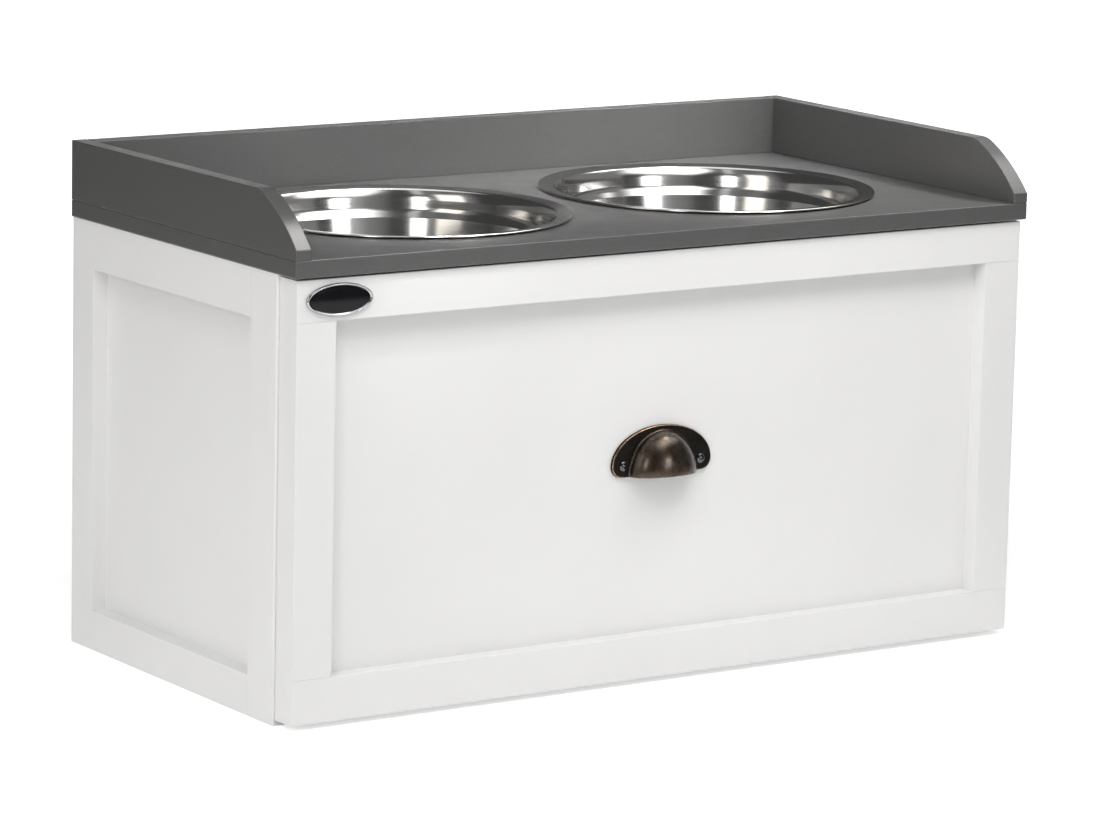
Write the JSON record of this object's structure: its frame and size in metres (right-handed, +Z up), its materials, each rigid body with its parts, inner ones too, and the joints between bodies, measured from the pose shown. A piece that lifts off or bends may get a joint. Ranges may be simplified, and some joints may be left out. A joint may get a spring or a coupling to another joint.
{
  "type": "elevated dog feeder",
  "caption": "Raised dog feeder: a grey top board with low guards holds steel bowls over a white panelled cabinet with a deep storage drawer and a cup pull.",
  "frame": {"origin": "on the floor, below the middle of the bounding box", "axes": "+X to the right seen from the drawer's front, +Y to the back, +Z up"},
  "size_m": [0.6, 0.3055, 0.353],
  "materials": {
    "grey_board": "matte grey laminate",
    "white_board": "satin white lacquer",
    "steel_bowl": "mirror-polished stainless steel",
    "bronze": "dark oil-rubbed bronze, satin",
    "screw_steel": "plain zinc",
    "black_screw": "black oxide",
    "badge_chrome": "polished",
    "badge_black": "glossy black",
    "runner_white": "white powder coat",
    "roller_plastic": "natural white nylon",
    "pin_steel": "turned",
    "cam_zinc": "die-cast zinc",
    "dowel_wood": "bare beech",
    "back_board": "thin white-faced board"
  },
  "bodies": {
    "cabinet": {"back_guard": "grey_board", "back_panel": "back_board", "back_panel_screws": "screw_steel", "back_stretcher": "white_board", "bottom_panel": "white_board", "cabinet_cam_bolts": "screw_steel", "cabinet_cams": "cam_zinc", "cabinet_dowels": "dowel_wood", "cabinet_roller_pins": "pin_steel", "cabinet_runner_screws": "screw_steel", "front_stretcher": "white_board", "guard_screws": "black_screw", "left_back_stile": "white_board", "left_bottom_rail": "white_board", "left_cabinet_runner": "runner_white", "left_front_stile": "white_board", "left_guard": "grey_board", "left_side_panel": "white_board", "left_top_rail": "white_board", "right_back_stile": "white_board", "right_bottom_rail": "white_board", "right_cabinet_runner": "runner_white", "right_front_stile": "white_board", "right_guard": "grey_board", "right_side_panel": "white_board", "right_top_rail": "white_board", "side_frame_dowels": "dowel_wood", "top_board": "grey_board"},
    "drawer": {"badge_bezel": "badge_chrome", "badge_face": "badge_black", "cup_pull": "bronze", "drawer_back": "white_board", "drawer_back_screws": "black_screw", "drawer_bottom": "back_board", "drawer_bottom_rail": "white_board", "drawer_bottom_screws": "black_screw", "drawer_cam_bolts": "screw_steel", "drawer_cams": "cam_zinc", "drawer_front_board": "white_board", "drawer_left_side": "white_board", "drawer_left_stile": "white_board", "drawer_right_side": "white_board", "drawer_right_stile": "white_board", "drawer_roller_pins": "pin_steel", "drawer_runner_screws": "screw_steel", "drawer_top_rail": "white_board", "left_drawer_runner": "runner_white", "pull_screws": "screw_steel", "right_drawer_runner": "runner_white"},
    "left_bowl": {"left_bowl": "steel_bowl"},
    "right_bowl": {"right_bowl": "steel_bowl"},
    "left_cabinet_roller": {"left_cabinet_roller": "roller_plastic"},
    "right_cabinet_roller": {"right_cabinet_roller": "roller_plastic"},
    "left_drawer_roller": {"left_drawer_roller": "roller_plastic"},
    "right_drawer_roller": {"right_drawer_roller": "roller_plastic"}
  },
  "joints": [
    {"name": "drawer_slide", "type": "slide", "parent": "cabinet", "child": "drawer", "axis": [0, -1, 0], "range_m": [0, 0.19]},
    {"name": "left_bowl_lift", "type": "slide", "parent": "cabinet", "child": "left_bowl", "axis": [0, 0, 1], "range_m": [0, 0.1]},
    {"name": "right_bowl_lift", "type": "slide", "parent": "cabinet", "child": "right_bowl", "axis": [0, 0, 1], "range_m": [0, 0.1]},
    {"name": "left_cabinet_roller_spin", "type": "hinge", "parent": "cabinet", "child": "left_cabinet_roller", "pos_m": [-0.2784, -0.10825, 0.046], "axis": [1, 0, 0], "range_deg": [0, 1150]},
    {"name": "left_drawer_roller_spin", "type": "hinge", "parent": "drawer", "child": "left_drawer_roller", "pos_m": [-0.2784, 0.11675, 0.045], "axis": [1, 0, 0], "range_deg": [0, 1150]},
    {"name": "right_cabinet_roller_spin", "type": "hinge", "parent": "cabinet", "child": "right_cabinet_roller", "pos_m": [0.2784, -0.10825, 0.046], "axis": [1, 0, 0], "range_deg": [0, 1150]},
    {"name": "right_drawer_roller_spin", "type": "hinge", "parent": "drawer", "child": "right_drawer_roller", "pos_m": [0.2784, 0.11675, 0.045], "axis": [1, 0, 0], "range_deg": [0, 1150]}
  ],
  "couplings": [
    {"joint": "left_cabinet_roller_spin", "follows": "drawer_slide", "rad_per_m": 105.26},
    {"joint": "left_drawer_roller_spin", "follows": "drawer_slide", "rad_per_m": 105.26},
    {"joint": "right_cabinet_roller_spin", "follows": "drawer_slide", "rad_per_m": 105.26},
    {"joint": "right_drawer_roller_spin", "follows": "drawer_slide", "rad_per_m": 105.26}
  ]
}
